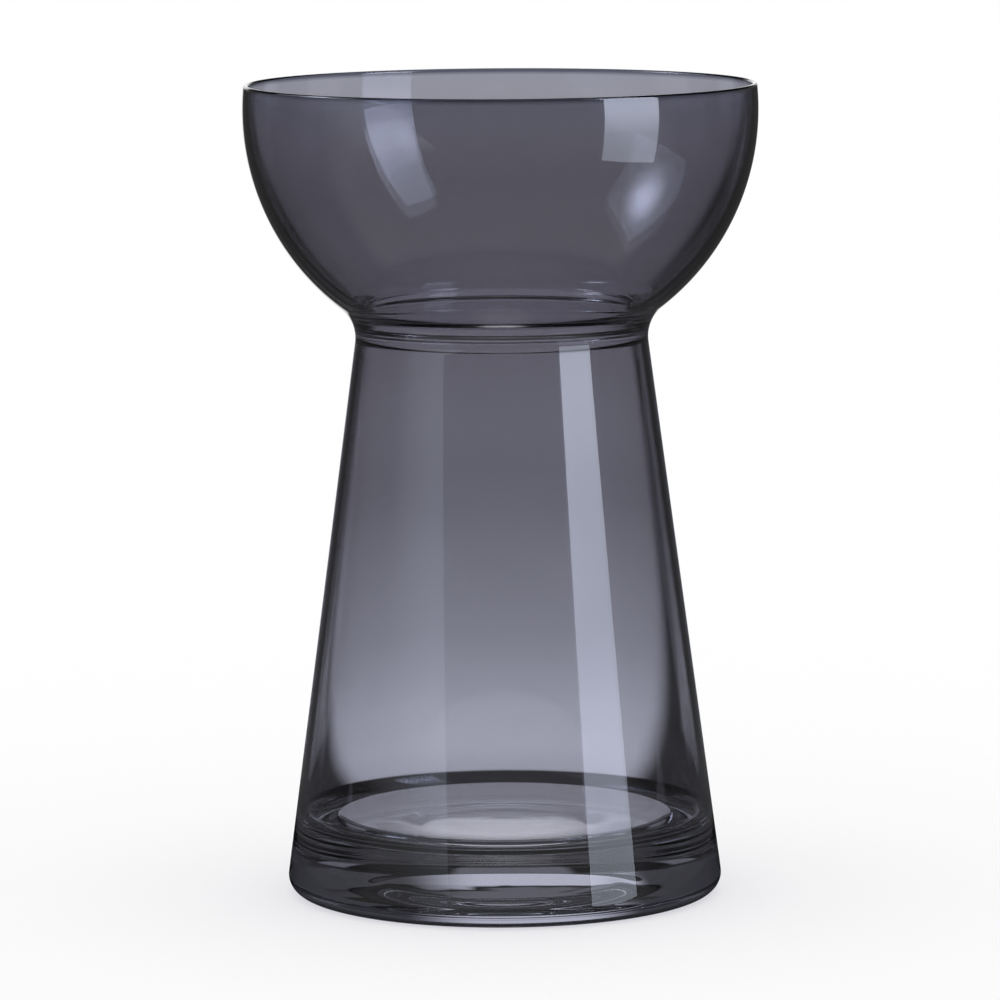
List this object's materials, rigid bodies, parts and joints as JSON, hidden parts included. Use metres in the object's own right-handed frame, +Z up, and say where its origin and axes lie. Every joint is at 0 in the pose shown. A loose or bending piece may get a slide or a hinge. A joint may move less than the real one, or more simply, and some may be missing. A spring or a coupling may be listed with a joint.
{
  "type": "vase",
  "caption": "Smoked glass bulb vase with a round open bowl, a narrow waist with an inner lip, and a tall flared body on a thick solid base.",
  "frame": {"origin": "centre of the foot, on the surface that the vase stands on", "axes": "+Z up along the vase's axis, out of the bowl; the vase is round, so X and Y are alike, and -Y faces the viewer of the picture"},
  "size_m": [0.1326, 0.1326, 0.21],
  "materials": {
    "smoked_glass": "fire-polished clear glass with a thin smoke-grey tint"
  },
  "bodies": {
    "root": {"vase": "smoked_glass"}
  },
  "joints": []
}
